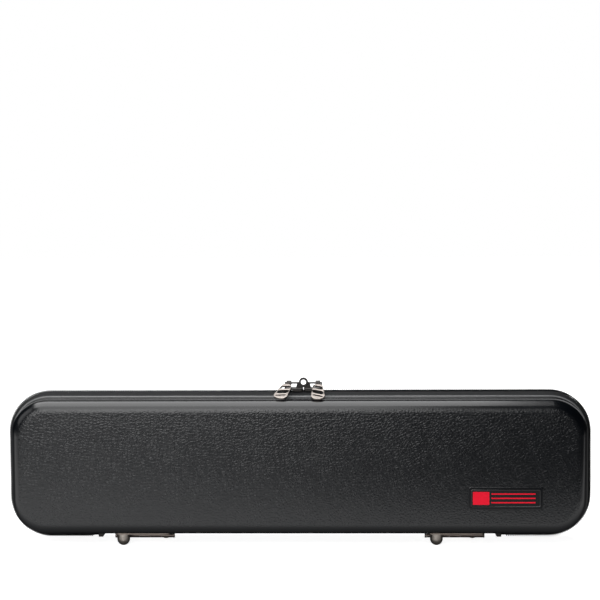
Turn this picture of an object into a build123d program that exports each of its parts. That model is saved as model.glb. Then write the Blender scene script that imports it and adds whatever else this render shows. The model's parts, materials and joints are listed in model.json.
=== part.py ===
"""A zip-round hard flute case with two steel hinges, standing on the feet of its hinge side.

It is drawn lying on its back: X runs along the case, Y across it towards the edge that the
zip opens, and Z up out of the lid, with the parting plane at Z = 0. stand_up() then turns it
onto its feet: the lid faces -Y, the zip's opening edge is up, and the floor is at Z = 0.
An offset, named proud or a letter n, is measured outwards from the outside of the shell wall.
"""
from build123d import *
import os
from math import cos, radians, sin

# ---------------------------------------------------------------- sizes, mm
# The case as a whole
case_length = 419.0          # over the zip
case_height = 106.0          # over the zip, from the hinge side to the opening edge
band_corner = 30.0           # corner radius of the zip's outer edge, seen from the front
zip_proud = 5.0              # crest of the zip coil outside the shell wall
lid_depth = 26.0             # parting plane to the lid's broad face
base_depth = 27.0            # parting plane to the base's broad face
wall = 2.4                   # moulded shell
rim_setback = 8.0            # parting plane to each shell's rim
face_edge_radius = 9.0       # soft shoulder between a broad face and the walls
lid_crown = 1.2              # how far the lid's broad face swells across its height

# Bead along each shell's rim
bead_proud = 0.5
bead_width = 1.8
bead_from_rim = 0.6
bead_round = 0.4

# Zip: sewn welt, tape and coil of one half, the other half is its mirror
welt_flange = 0.4            # welt's sewn edge, between the rim and the tape
welt_radius = 0.6
welt_proud = 1.1             # centre of the welt's cord
tape_thickness = 1.0
tape_foot_proud = 0.4        # where the tape leaves the rim
tape_foot_inside = 0.9       # sewn foot past the inner face of the wall
tape_foot_drop = 0.6
coil_height = 1.2
coil_outer_reach = 3.4       # parting plane to the coil's outer edge
coil_gap = 0.45              # parting plane to the coil, room for the slider's post
coil_round = 0.35
zip_end = 145.0              # middle of the case to the zip's ends, on the hinge side
zip_stop_width = 3.2
zip_stop_reach = 5.5
zip_stop_inset = 0.1         # stop's top below the coil's crest

# Cloth strip that closes the gap between the rims along the hinge side
strip_half_length = 140.0
strip_reach = 12.0           # parting plane to its edge, glued inside each shell
strip_thickness = 1.0

# Linings, foam and their clearances
lining = 1.0
lining_gap = 0.1             # lining to the shell wall
foam_gap = 0.3               # foam to the lining
tray_top = -2.0              # top of the base's foam tray
pad_face = 12.0              # face of the lid's pad
pad_edge_radius = 4.0
foam_edge_radius = 6.0

# Wells in the foam tray: (middle, width and floor of each row)
tube_clear_radius = 11.0     # round channel under a flute's tube
tube_axis_depth = 10.0       # channel's axis below the parting plane
body_well_y = 23.5
body_well_length = 362.0
body_well_x = -1.0
body_key_width = 36.0
key_floor = -12.0
head_well_y = -26.5
head_well_radius = 13.0
head_well_length = 232.0
head_well_left = -190.0
head_axis_depth = 8.5
lip_recess_width = 32.0
lip_recess_length = 46.0
lip_recess_from_end = 38.0
foot_well_length = 132.0
foot_well_right = 190.0
foot_key_width = 29.0
rod_slot_y = -3.5
rod_slot_radius = 4.5
rod_slot_length = 342.0
rod_axis_depth = 9.5
well_corner = 4.0

# Hinges, on the hinge side
hinge_x = 112.0
leaf_length = 40.0
leaf_reach = 15.5            # parting plane to the leaf's far edge
leaf_thickness = 1.0
leaf_gap = 0.5               # parting plane to the leaf
leaf_corner = 3.0
leaf_seat_gap = 0.3          # bead to the leaf
knuckle_count = 5
knuckle_radius = 1.5
knuckle_gap = 0.3
pin_radius = 0.7
pin_clearance = 0.05
pin_head_radius = 1.6
pin_head_width = 1.4
pin_end_gap = 0.1

# Feet and rivets of the hinge leaves
foot_radius = 4.55
foot_tip = 9.2               # flat tip outside the shell wall
foot_flat = 0.2              # worn flat at the tip of the dome
foot_reach = 11.5            # parting plane to a foot's middle
foot_x = 14.0                # hinge's middle to a foot
foot_shank_radius = 1.5
rivet_radius = 1.1
rivet_head_radius = 2.1
rivet_head_height = 0.7
rivet_spacing = 14.0
hole_clearance = 0.05

# Sliders, which meet nose to nose on the opening edge
meet_x = 3.2
nose_gap = 0.25
slider_length = 13.4
slider_head_half = 4.6
slider_tail_half = 3.9
plate_thickness = 1.2
plate_clearance = 0.3        # coil's crest to the upper plate
flange_thickness = 0.8
flange_drop = 1.0
under_plate_half = 3.0
under_plate_thickness = 1.1
under_clearance = 0.3
post_half = 0.2
post_length = 2.2
crown_height = 4.9           # coil's crest to the axis of the crown's bar
bar_radius = 0.65
web_length = 4.4             # nose to the web's end at the bar
web_foot_length = 5.4        # nose to the web's end on the plate
web_lap = 1.2                # each web past the nose, beside the other slider's web
web_lap_gap = 0.35           # lapping part over the other slider's plate
web_thickness = 1.1
web_gap = 0.15               # parting plane to each crown's web
eye_height = 5.4             # coil's crest to the middle of the lock eye
eye_radius = 1.9
eye_outer_radius = 3.3
crown_leg = 1.0
crown_leg_half = 1.0

# Pulls
link_from_nose = 10.4
link_width = 3.6
link_clearance = 0.3
link_wall = 0.8
tongue_end = 4.6
pull_thickness = 1.3
pull_length = 24.5           # bar's axis to the pull's tip
pull_top = 2.5
pull_top_radius = 3.6
pull_half = 5.0
pull_tip_radius = 4.0
window_round = 0.3           # corner radius of a window, of its height
windows = ((6.2, 6.7, 11.9), (6.8, 12.9, 18.1), (5.6, 20.2, 21.0))  # width, near, far end
pull_drop_angle = 25.0       # pulls lie this far below level, on the lid's shoulder
left_pull_lean = 17.5        # the left pull hangs askew in its own plane

# Badge on the lid
badge_from_end = 63.9        # case's right end to the badge's middle
badge_from_hinge = 31.9      # case's hinge side to the badge's middle
badge_frame_length = 52.5
badge_frame_width = 16.0
badge_frame_proud = 0.5
badge_frame_rim = 1.7
badge_corner = 1.6
badge_recess = 0.8
badge_plate_thickness = 0.8
badge_plate_gap = 0.15
emblem_relief = 0.25
emblem_block_length = 11.6
emblem_side_margin = 1.7     # recess's long sides to the emblem
emblem_end_margin = 1.4      # recess's left end to the block, and block to bars
emblem_tail = 3.7            # bars to the recess's right end
emblem_bar_width = 0.9
emblem_bars = 3

# ---------------------------------------------------------------- worked out
shell_length = case_length - 2 * zip_proud
shell_height = case_height - 2 * zip_proud
shell_corner = band_corner - zip_proud
straight_x = shell_length / 2 - shell_corner
straight_y = shell_height / 2 - shell_corner
wall_y = shell_height / 2
stand_height = wall_y + foot_tip
coil_foot = zip_proud - coil_height
hinge_y = -case_height / 2
crest_y = case_height / 2
plate_low = crest_y + plate_clearance
plate_top = plate_low + plate_thickness
bar_y = crest_y + crown_height
eye_y = crest_y + eye_height
under_top = wall_y + coil_foot - tape_thickness - under_clearance
badge_x = case_length / 2 - badge_from_end
badge_y = badge_from_hinge - case_height / 2
badge_recess_length = badge_frame_length - 2 * badge_frame_rim
badge_recess_width = badge_frame_width - 2 * badge_frame_rim
emblem_block_width = badge_recess_width - 2 * emblem_side_margin
emblem_bar_length = (badge_recess_length - emblem_block_length - 2 * emblem_end_margin
                     - emblem_tail)
emblem_bar_spacing = emblem_block_width / emblem_bars


def stand_up(part):
    """Turn a lying piece onto the feet of the hinge side."""
    return Pos(0, 0, stand_height) * Rot(90, 0, 0) * part


def write(name, *solids):
    """Write one node, which may be a group of alike solids."""
    pieces = [stand_up(solid) for solid in solids]
    shape = pieces[0] if len(pieces) == 1 else Compound(children=[p.solid() for p in pieces])
    export_step(shape, f"parts/{name}.step")


def other_half(part):
    """Mirror a piece of the lid's half into the base's half."""
    return mirror(part, about=Plane.XY)


def block(x, y, z):
    """A box between the ends of three spans."""
    sizes = (x[1] - x[0], y[1] - y[0], z[1] - z[0])
    middle = ((x[0] + x[1]) / 2, (y[0] + y[1]) / 2, (z[0] + z[1]) / 2)
    return Pos(*middle) * Box(*sizes)


def rod(radius, x, y, z):
    """A cylinder along X over the span x."""
    return Pos((x[0] + x[1]) / 2, y, z) * Rot(0, 90, 0) * Cylinder(radius, x[1] - x[0])


def peg(radius, x, z, n):
    """A cylinder on the hinge side, square to its wall, over the span n of offsets."""
    y = -wall_y - (n[0] + n[1]) / 2
    return Pos(x, y, z) * Rot(90, 0, 0) * Cylinder(radius, n[1] - n[0])


def outline(n):
    """The shell's outline, seen from the front, moved outwards by n."""
    return RectangleRounded(shell_length + 2 * n, shell_height + 2 * n, shell_corner + n)


def slab(n, low, high):
    """A plate of the shell's outline between two heights."""
    return Pos(0, 0, low) * extrude(outline(n), high - low)


def tub(n, low, top, edge_radius, crown=0.0, sink=0.0):
    """A closed tub form with a rounded top edge and, if asked, a crowned top."""
    form = slab(n, low, top)
    if crown > 0:
        bend = (wall_y ** 2 + crown ** 2) / (2 * crown)
        form = form & rod(bend - sink, (-shell_length, shell_length), 0, top + sink - bend)
    rim = form.faces().sort_by(Axis.Z)[-1].edges()
    return fillet(rim, edge_radius)


# ---------------------------------------------------------------- shells
def fastener_places(foot_side):
    """Where a leaf's rivets and foot go, along X from the hinge's middle."""
    foot = foot_side * foot_x
    return foot, [foot - foot_side * rivet_spacing * step for step in (1, 2)]


def leaf_room(side):
    """Space that the hinge leaf takes out of the rim's bead."""
    half = leaf_length / 2 + leaf_seat_gap
    x = (side * hinge_x - half, side * hinge_x + half)
    return block(x, (-wall_y - zip_proud, -wall_y), (0, lid_depth))


def shell(depth, crown, foot_side):
    """One moulded half: a thin tub with a bead along its rim and holes for its hinges."""
    inner_edge = face_edge_radius - wall
    body = tub(0, rim_setback, depth, face_edge_radius, crown)
    body = body - tub(-wall, rim_setback, depth - wall, inner_edge, crown, wall)
    bead_low = rim_setback + bead_from_rim
    bead = slab(bead_proud, bead_low, bead_low + bead_width)
    bead = fillet(bead.edges().group_by(Axis.Z)[0] + bead.edges().group_by(Axis.Z)[-1], bead_round)
    bead = bead - slab(-wall / 2, rim_setback, depth)
    for side in (-1, 1):
        bead = bead - leaf_room(side)
    body = body + bead
    foot, rivets = fastener_places(foot_side)
    through = (-2 * wall, wall)
    for side in (-1, 1):
        middle = side * hinge_x
        body = body - peg(foot_shank_radius + hole_clearance, middle + foot, foot_reach, through)
        for rivet in rivets:
            body = body - peg(rivet_radius + hole_clearance, middle + rivet, foot_reach, through)
    return body


def badge_frame():
    """The raised lip moulded round the badge's recess."""
    frame = RectangleRounded(badge_frame_length, badge_frame_width, badge_corner)
    top = lid_depth + badge_frame_proud
    lip = Pos(badge_x, badge_y, lid_depth - wall / 2) * extrude(frame, top - lid_depth + wall / 2)
    return fillet(lip.edges().group_by(Axis.Z)[-1], badge_frame_proud)


def badge_window(gap):
    """Outline of the badge's recess, or of its plate when a gap is given."""
    length = badge_recess_length - 2 * gap
    width = badge_recess_width - 2 * gap
    return RectangleRounded(length, width, badge_corner / 2)


def lid_shell():
    """The lid: the moulded half that carries the badge's frame."""
    recess = Pos(badge_x, badge_y, lid_depth - badge_recess) * extrude(badge_window(0), wall)
    return shell(lid_depth, lid_crown, -1) + badge_frame() - recess


def badge_plate():
    """The gloss plate in the badge's recess."""
    place = Pos(badge_x, badge_y, lid_depth - badge_recess)
    return place * extrude(badge_window(badge_plate_gap), badge_plate_thickness)


def badge_emblem():
    """A plain block and bars in low relief, in the place of a name."""
    top = lid_depth - badge_recess + badge_plate_thickness
    left = badge_x - badge_recess_length / 2 + emblem_end_margin
    place = Pos(left + emblem_block_length / 2, badge_y, top)
    block_face = RectangleRounded(emblem_block_length, emblem_block_width, emblem_bar_width / 2)
    pieces = [place * extrude(block_face, emblem_relief)]
    bar_x = left + emblem_block_length + emblem_end_margin + emblem_bar_length / 2
    for step in range(emblem_bars):
        y = badge_y + (step - (emblem_bars - 1) / 2) * emblem_bar_spacing
        bar = RectangleRounded(emblem_bar_length, emblem_bar_width, emblem_bar_width / 3)
        pieces.append(Pos(bar_x, y, top) * extrude(bar, emblem_relief))
    return pieces


# ---------------------------------------------------------------- zip
def at_side(profile, x, y, turn):
    """Set a profile, drawn as (n, Z), on the wall at a point whose outside faces turn degrees."""
    outward = (cos(radians(turn)), sin(radians(turn)), 0)
    along = (sin(radians(turn)), -cos(radians(turn)), 0)
    return Plane(origin=(x, y, 0), x_dir=outward, z_dir=along) * profile


def along_zip(profile):
    """Run a profile along the zip: both ends on the hinge side, round all four corners."""
    wall_x = shell_length / 2
    stub = straight_x - zip_end
    runs = [
        extrude(at_side(profile, straight_x, -wall_y, 270), stub),
        extrude(at_side(profile, wall_x, straight_y, 0), 2 * straight_y),
        extrude(at_side(profile, -straight_x, wall_y, 90), 2 * straight_x),
        extrude(at_side(profile, -wall_x, -straight_y, 180), 2 * straight_y),
        extrude(at_side(profile, -zip_end, -wall_y, 270), stub),
    ]
    corners = ((1, -1, 270), (1, 1, 0), (-1, 1, 90), (-1, -1, 180))
    for side_x, side_y, turn in corners:
        x, y = side_x * straight_x, side_y * straight_y
        start_x = x + shell_corner * cos(radians(turn))
        start_y = y + shell_corner * sin(radians(turn))
        axis = Axis((x, y, 0), (0, 0, 1))
        runs.append(revolve(at_side(profile, start_x, start_y, turn), axis, 90))
    whole = runs[0]
    for run in (runs[5], runs[1], runs[6], runs[2], runs[7], runs[3], runs[8], runs[4]):
        whole = whole + run
    return whole


def zip_tape():
    """Woven tape of the lid's half: sewn foot, slope, and the level edge under the coil."""
    foot_top = rim_setback - welt_flange
    foot_low = foot_top - tape_thickness
    foot_end = -wall - tape_foot_inside
    points = [
        (foot_end, foot_top),
        (tape_foot_proud, foot_top),
        (tape_foot_proud, foot_top - tape_foot_drop),
        (coil_foot, coil_outer_reach),
        (coil_foot, coil_gap),
        (coil_foot - tape_thickness, coil_gap),
        (coil_foot - tape_thickness, coil_outer_reach - tape_foot_drop),
        (tape_foot_proud - tape_foot_drop, foot_low),
        (foot_end, foot_low),
    ]
    return along_zip(make_face(Polyline(*points, close=True)))


def zip_coil():
    """Envelope of the zip's coil on the lid's half."""
    span = coil_outer_reach - coil_gap
    profile = RectangleRounded(coil_height, span, coil_round)
    place = Pos(zip_proud - coil_height / 2, coil_gap + span / 2)
    return along_zip(place * profile)


def zip_welt():
    """Piped welt sewn between the rim and the tape."""
    middle = rim_setback - welt_flange / 2
    cord = Pos(welt_proud, rim_setback - welt_flange + welt_radius / 6) * Circle(welt_radius)
    reach = welt_proud + wall
    flange = Pos(welt_proud - reach / 2, middle) * Rectangle(reach, welt_flange)
    return along_zip(flange + cord)


def zip_stop(side):
    """Metal stop clenched on one end of the tape."""
    n = (tape_thickness, zip_proud - zip_stop_inset)
    x = sorted((side * zip_end, side * (zip_end - zip_stop_width)))
    stop = block(x, (-wall_y - n[1], -wall_y - n[0]), (coil_gap, zip_stop_reach))
    return fillet(stop.edges().filter_by(Axis.X), coil_round)


# ---------------------------------------------------------------- inside
def strip_room(gap):
    """Space of the hinge side's cloth strip, grown by a gap."""
    half = strip_half_length + gap
    y = (-wall_y + wall, -wall_y + wall + strip_thickness + gap)
    return block((-half, half), y, (-strip_reach - gap, strip_reach + gap))


def half_lining(depth, crown):
    """Cloth lining of one shell, drawn on the lid's side."""
    outer = wall + lining_gap
    inner = outer + lining
    form = tub(-outer, rim_setback, depth - outer, face_edge_radius - outer, crown, outer)
    hollow = tub(-inner, rim_setback, depth - inner, face_edge_radius - inner, crown, inner)
    return form - hollow - strip_room(foam_gap)


def well(x, y, width, radius, axis_depth, floor):
    """One well: a round channel along X under a wider recess for keys."""
    channel = rod(radius, x, y, -axis_depth)
    channel = channel + block(x, (y - radius, y + radius), (-axis_depth, 0))
    recess = block(x, (y - width / 2, y + width / 2), (floor, 0))
    recess = fillet(recess.edges().filter_by(Axis.Z), well_corner)
    return channel + recess


def foam_tray():
    """The base's foam tray with wells for the three joints and the cleaning rod."""
    edge = wall + lining_gap + lining + foam_gap
    low = -base_depth + edge
    tray = other_half(tub(-edge, -tray_top, -low, foam_edge_radius))
    body_x = (body_well_x - body_well_length / 2, body_well_x + body_well_length / 2)
    head_x = (head_well_left, head_well_left + head_well_length)
    foot_x_span = (foot_well_right - foot_well_length, foot_well_right)
    tray = tray - well(body_x, body_well_y, body_key_width, tube_clear_radius,
                       tube_axis_depth, key_floor)
    tray = tray - well(foot_x_span, head_well_y, foot_key_width, tube_clear_radius,
                       tube_axis_depth, key_floor)
    tray = tray - well(head_x, head_well_y, 2 * head_well_radius, head_well_radius,
                       head_axis_depth, -head_axis_depth)
    lip_x = (head_well_left + lip_recess_from_end,
             head_well_left + lip_recess_from_end + lip_recess_length)
    lip = block(lip_x, (head_well_y - lip_recess_width / 2, head_well_y + lip_recess_width / 2),
                (key_floor, 0))
    tray = tray - fillet(lip.edges().filter_by(Axis.Z), well_corner)
    rod_x = (-rod_slot_length / 2, rod_slot_length / 2)
    return tray - well(rod_x, rod_slot_y, 2 * rod_slot_radius, rod_slot_radius,
                       rod_axis_depth, -rod_axis_depth)


def lid_pad():
    """The lid's cushion, with a crowned back that follows the lid and rounded edges."""
    edge = wall + lining_gap + lining + foam_gap
    pad = tub(-edge, pad_face, lid_depth - edge, foam_edge_radius, lid_crown, edge)
    rim = pad.faces().sort_by(Axis.Z)[0].edges()
    return fillet(rim, pad_edge_radius)


# ---------------------------------------------------------------- hinges
def knuckle_spans(first):
    """Spans along X of every second knuckle, starting at the given one."""
    pitch = leaf_length / knuckle_count
    spans = []
    for step in range(first, knuckle_count, 2):
        low = -leaf_length / 2 + step * pitch
        spans.append((low + knuckle_gap / 2, low + pitch - knuckle_gap / 2))
    return spans


def hinge_leaf(first_knuckle, foot_side):
    """One leaf, drawn on the lid's side: plate on the wall, legs, knuckles and holes."""
    half = leaf_length / 2
    n = (0, leaf_thickness)
    leaf = block((-half, half), (-wall_y - n[1], -wall_y - n[0]), (leaf_gap, leaf_reach))
    far_corners = leaf.edges().filter_by(Axis.Y).group_by(Axis.Z)[-1]
    leaf = fillet(far_corners, leaf_corner)
    for span in knuckle_spans(first_knuckle):
        leg = block(span, (hinge_y, -wall_y), (knuckle_radius - leaf_thickness, knuckle_radius))
        leaf = leaf + leg + rod(knuckle_radius, span, hinge_y, 0)
    leaf = leaf - rod(pin_radius + pin_clearance, (-leaf_length, leaf_length), hinge_y, 0)
    foot, rivets = fastener_places(foot_side)
    through = (-wall, 2 * leaf_thickness)
    leaf = leaf - peg(foot_shank_radius + hole_clearance, foot, foot_reach, through)
    for rivet in rivets:
        leaf = leaf - peg(rivet_radius + hole_clearance, rivet, foot_reach, through)
    return leaf


def hinge_pin():
    """Steel pin with a head at each end."""
    half = leaf_length / 2 + pin_end_gap
    pin = rod(pin_radius, (-half, half), hinge_y, 0)
    for side in (-1, 1):
        span = sorted((side * half, side * (half + pin_head_width)))
        pin = pin + rod(pin_head_radius, span, hinge_y, 0)
    return pin


def dome_foot(foot_side):
    """Bullet-shaped metal foot with the shank that rivets it through leaf and wall."""
    x = foot_side * foot_x
    centre = foot_tip + foot_flat - foot_radius
    dome = peg(foot_radius, x, foot_reach, (leaf_thickness, centre))
    dome = dome + Pos(x, -wall_y - centre, foot_reach) * Sphere(foot_radius)
    dome = dome & peg(2 * foot_radius, x, foot_reach, (leaf_thickness, foot_tip))
    return dome + peg(foot_shank_radius, x, foot_reach, (-wall, leaf_thickness))


def leaf_rivets(foot_side):
    """The rivets of one leaf."""
    rivets = []
    for x in fastener_places(foot_side)[1]:
        top = leaf_thickness + rivet_head_height
        head = peg(rivet_head_radius, x, foot_reach, (leaf_thickness, top))
        head = fillet(head.edges().group_by(Axis.Y)[0], rivet_head_height * 0.8)
        rivets.append(head + peg(rivet_radius, x, foot_reach, (-wall, leaf_thickness)))
    return rivets


# ---------------------------------------------------------------- sliders and pulls
def slider_body():
    """Two plates and a post, drawn as the right slider with its nose at X = 0."""
    tail = nose_gap + slider_length
    shoulder = nose_gap + slider_length * 0.55
    corners = [
        (nose_gap, -slider_head_half),
        (shoulder, -slider_head_half),
        (tail, -slider_tail_half),
        (tail, slider_tail_half),
        (shoulder, slider_head_half),
        (nose_gap, slider_head_half),
    ]
    level = Plane(origin=(0, plate_low, 0), x_dir=(1, 0, 0), z_dir=(0, 1, 0))
    plate = extrude(level * make_face(Polyline(*corners, close=True)), plate_thickness)
    plate = fillet(plate.edges().filter_by(Axis.Y), plate_thickness)
    plate = fillet(plate.faces().sort_by(Axis.Y)[-1].edges(), plate_thickness / 3)
    flange = block((nose_gap + plate_thickness, shoulder), (plate_low - flange_drop, plate_low),
                   (slider_head_half - flange_thickness, slider_head_half))
    under = block((nose_gap, tail - plate_thickness),
                  (under_top - under_plate_thickness, under_top),
                  (-under_plate_half, under_plate_half))
    post = block((nose_gap, nose_gap + post_length), (under_top, plate_low),
                 (-post_half, post_half))
    return plate + flange + under + post


def slider_crown(web_side):
    """Web with the lock eye, and the bar that carries the pull, nose at X = 0."""
    web_low = web_side * web_gap
    web_high = web_side * (web_gap + web_thickness)
    z = sorted((web_low, web_high))
    lap_low = plate_top + web_lap_gap
    face = make_face(Polyline((nose_gap, plate_top), (web_foot_length, plate_top),
                              (web_length, bar_y + bar_radius), (-web_lap, eye_y),
                              (-web_lap, lap_low), (nose_gap, lap_low), close=True))
    face = face + Pos(0, eye_y) * Circle(eye_outer_radius)
    face = face - Pos(0, eye_y) * Circle(eye_radius)
    web = Pos(0, 0, z[0]) * extrude(face, web_thickness)
    bar_end = slider_length - crown_leg / 2
    bar = rod(bar_radius, (web_length - bar_radius, bar_end), bar_y, 0)
    leg = block((slider_length - crown_leg, slider_length), (plate_top, bar_y + bar_radius),
                (-crown_leg_half, crown_leg_half))
    leg = fillet(leg.edges().filter_by(Axis.Z).group_by(Axis.Y)[-1], crown_leg / 3)
    return web + bar + leg


def pull_link():
    """Barrel round the crown's bar with a tongue that holds the pull, pointing along +Z."""
    bore = bar_radius + link_clearance
    half = link_width / 2
    barrel = rod(bore + link_wall, (-half, half), 0, 0)
    tongue = block((-half, half), (-pull_thickness / 2, pull_thickness / 2), (0, tongue_end))
    return barrel + tongue - rod(bore, (-link_width, link_width), 0, 0)


def pull_tab(lean):
    """The open-work pull, pointing along +Z and turned by lean in its own plane."""
    tip_middle = pull_length - pull_tip_radius
    sides = pull_half - pull_tip_radius
    outer = (
        Pos(0, pull_top + pull_top_radius) * Circle(pull_top_radius)
        + Pos(-sides, tip_middle) * Circle(pull_tip_radius)
        + Pos(sides, tip_middle) * Circle(pull_tip_radius)
    )
    face = make_hull(outer.edges())
    for width, low, high in windows:
        corner = (high - low) * window_round
        face = face - Pos(0, (low + high) / 2) * RectangleRounded(width, high - low, corner)
    tab = extrude(face, pull_thickness / 2, both=True)
    return Rot(0, lean, 0) * Rot(90, 0, 0) * tab


def hang(part, x):
    """Hang a pull's piece from the crown's bar at x, down over the lid's shoulder."""
    return Pos(x, bar_y, 0) * Rot(pull_drop_angle, 0, 0) * part


def build():
    """Make every node and write it."""
    os.makedirs("parts", exist_ok=True)
    write("lid_shell", lid_shell())
    write("base_shell", other_half(shell(base_depth, 0.0, 1)))
    for half, place in (("lid", lambda part: part), ("base", other_half)):
        write(f"{half}_zip_tape", place(zip_tape()))
        write(f"{half}_zip_coil", place(zip_coil()))
        write(f"{half}_zip_welt", place(zip_welt()))
        write(f"{half}_zip_stops", *[place(zip_stop(side)) for side in (-1, 1)])
    write("badge_plate", badge_plate())
    write("badge_emblem", *badge_emblem())
    write("spine_strip", strip_room(0))
    write("lid_lining", half_lining(lid_depth, lid_crown))
    write("base_lining", other_half(half_lining(base_depth, 0.0)))
    write("base_foam_tray", foam_tray())
    write("lid_pad", lid_pad())
    for side, name in ((-1, "left"), (1, "right")):
        place = Pos(side * hinge_x, 0, 0)
        write(f"{name}_hinge_lid_leaf", place * hinge_leaf(1, -1))
        write(f"{name}_hinge_base_leaf", place * other_half(hinge_leaf(0, 1)))
        write(f"{name}_hinge_pin", place * hinge_pin())
        write(f"{name}_lid_foot", place * dome_foot(-1))
        write(f"{name}_base_foot", place * other_half(dome_foot(1)))
        write(f"{name}_hinge_lid_rivets", *[place * rivet for rivet in leaf_rivets(-1)])
        write(f"{name}_hinge_base_rivets",
              *[place * other_half(rivet) for rivet in leaf_rivets(1)])
    for side, name, lean in ((-1, "left", -left_pull_lean), (1, "right", 0.0)):
        body, crown = slider_body(), slider_crown(-side)
        if side < 0:
            body, crown = mirror(body, about=Plane.YZ), mirror(crown, about=Plane.YZ)
        place = Pos(meet_x, 0, 0)
        write(f"{name}_slider_body", place * body)
        write(f"{name}_slider_crown", place * crown)
        link_x = meet_x + side * link_from_nose
        link = pull_link()
        write(f"{name}_pull_link", hang(link, link_x))
        write(f"{name}_pull_tab", hang(pull_tab(lean) - link, link_x))


build()
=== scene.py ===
"""Slim hard flute case, closed and standing on its domed hinge feet.

The moulded shells and the metal parts come from the CAD frame and get their
finishes here. The zip, the cloth and the foam are modelled here, lying flat in
millimetres: X along the case, Y to the edge that the zip opens, Z out of the
lid, and the parting plane at Z = 0. Each piece is then stood up into the
frame, in metres.
"""

from __future__ import annotations

import json
import logging
import math
from dataclasses import dataclass
from enum import Enum
from typing import Callable, Iterable, Sequence

import bmesh
import bpy
from mathutils import Matrix, Vector

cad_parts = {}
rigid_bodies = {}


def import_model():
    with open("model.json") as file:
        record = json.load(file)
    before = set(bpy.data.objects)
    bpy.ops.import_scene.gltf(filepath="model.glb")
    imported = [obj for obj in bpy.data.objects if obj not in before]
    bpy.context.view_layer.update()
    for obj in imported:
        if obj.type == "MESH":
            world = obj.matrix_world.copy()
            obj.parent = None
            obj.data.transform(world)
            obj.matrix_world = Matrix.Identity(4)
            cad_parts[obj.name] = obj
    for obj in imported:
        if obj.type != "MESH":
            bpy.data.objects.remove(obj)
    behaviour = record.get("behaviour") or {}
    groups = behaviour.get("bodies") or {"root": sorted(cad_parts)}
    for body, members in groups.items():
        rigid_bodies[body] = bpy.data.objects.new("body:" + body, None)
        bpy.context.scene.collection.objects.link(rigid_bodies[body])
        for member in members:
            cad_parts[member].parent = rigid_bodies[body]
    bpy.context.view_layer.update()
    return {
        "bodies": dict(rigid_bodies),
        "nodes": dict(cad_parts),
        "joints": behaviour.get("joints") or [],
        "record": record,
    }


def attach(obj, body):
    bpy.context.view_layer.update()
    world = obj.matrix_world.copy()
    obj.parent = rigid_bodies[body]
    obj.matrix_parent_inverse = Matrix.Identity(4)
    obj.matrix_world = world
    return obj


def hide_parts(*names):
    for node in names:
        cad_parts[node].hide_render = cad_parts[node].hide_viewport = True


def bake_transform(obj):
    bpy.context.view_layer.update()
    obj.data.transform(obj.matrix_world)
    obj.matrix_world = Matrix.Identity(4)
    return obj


log = logging.getLogger("flute_case")

Pair = tuple[float, float]
Triple = tuple[float, float, float]
Settings = dict[str, object] | None
Values = dict[int | str, object] | None


# ---- sizes
@dataclass(frozen=True)
class CaseSizes:
    """Sizes of the lying case in millimetres."""

    straight_x: float = 179.5
    straight_y: float = 23.0
    corner: float = 25.0
    wall: float = 2.4
    lid_depth: float = 26.0
    base_depth: float = 27.0
    rim: float = 8.0
    mid_height: float = 57.2

    @property
    def half_x(self) -> float:
        """Half length at the shell's wall."""
        return self.straight_x + self.corner

    @property
    def half_y(self) -> float:
        """Half width at the shell's wall."""
        return self.straight_y + self.corner

    @property
    def stand(self) -> Matrix:
        """Turns the lying case in millimetres into the standing one in metres."""
        lift = Matrix.Translation((0.0, 0.0, self.mid_height / 1000))
        return lift @ Matrix.Rotation(math.pi / 2, 4, "X") @ Matrix.Scale(0.001, 4)


@dataclass(frozen=True)
class BadgePlace:
    """Outline of the badge's bead on the lid's face, in millimetres."""

    x: float = 145.6
    y: float = -21.1
    half_x: float = 24.6
    half_y: float = 6.35


class Half(Enum):
    """The two halves of the case; the value turns the lid's side into this one's."""

    LID = 1
    BASE = -1

    @property
    def body(self) -> str:
        """Name of the half's CAD body."""
        return self.name.lower()


# ---- shading
class Flow:
    """Output socket of a node, with arithmetic that adds Math nodes."""

    def __init__(self, graph: Graph, socket: bpy.types.NodeSocket) -> None:
        self.graph = graph
        self.socket = socket

    def _math(self, operation: str, *values: Flow | float) -> Flow:
        places = dict(enumerate(values))
        return self.graph.flow("ShaderNodeMath", {"operation": operation}, places)

    def __add__(self, other: Flow | float) -> Flow:
        return self._math("ADD", self, other)

    __radd__ = __add__

    def __mul__(self, other: Flow | float) -> Flow:
        return self._math("MULTIPLY", self, other)

    def __sub__(self, other: Flow | float) -> Flow:
        return self._math("SUBTRACT", self, other)

    def __rsub__(self, other: float) -> Flow:
        return self._math("SUBTRACT", other, self)

    def __truediv__(self, other: Flow | float) -> Flow:
        return self._math("DIVIDE", self, other)

    def wave(self) -> Flow:
        """Sine, moved into 0 to 1."""
        return self._math("SINE", self) * 0.5 + 0.5

    def fract(self) -> Flow:
        """Fractional part."""
        return self._math("FRACT", self)

    def floor(self) -> Flow:
        """Whole number below."""
        return self._math("FLOOR", self)

    def absolute(self) -> Flow:
        """Size without sign."""
        return self._math("ABSOLUTE", self)

    def least(self, other: Flow | float) -> Flow:
        """Smaller of the two."""
        return self._math("MINIMUM", self, other)

    def most(self, other: Flow | float) -> Flow:
        """Larger of the two."""
        return self._math("MAXIMUM", self, other)

    def smooth(self, low: float, high: float) -> Flow:
        """Rises smoothly from 0 at low to 1 at high, which may be the lower number."""
        rise = self.graph.flow(
            "ShaderNodeMapRange",
            {"interpolation_type": "SMOOTHSTEP"},
            {"Value": self, "From Min": min(low, high), "From Max": max(low, high)},
        )
        return 1.0 - rise if low > high else rise


Colour = Triple


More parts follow.
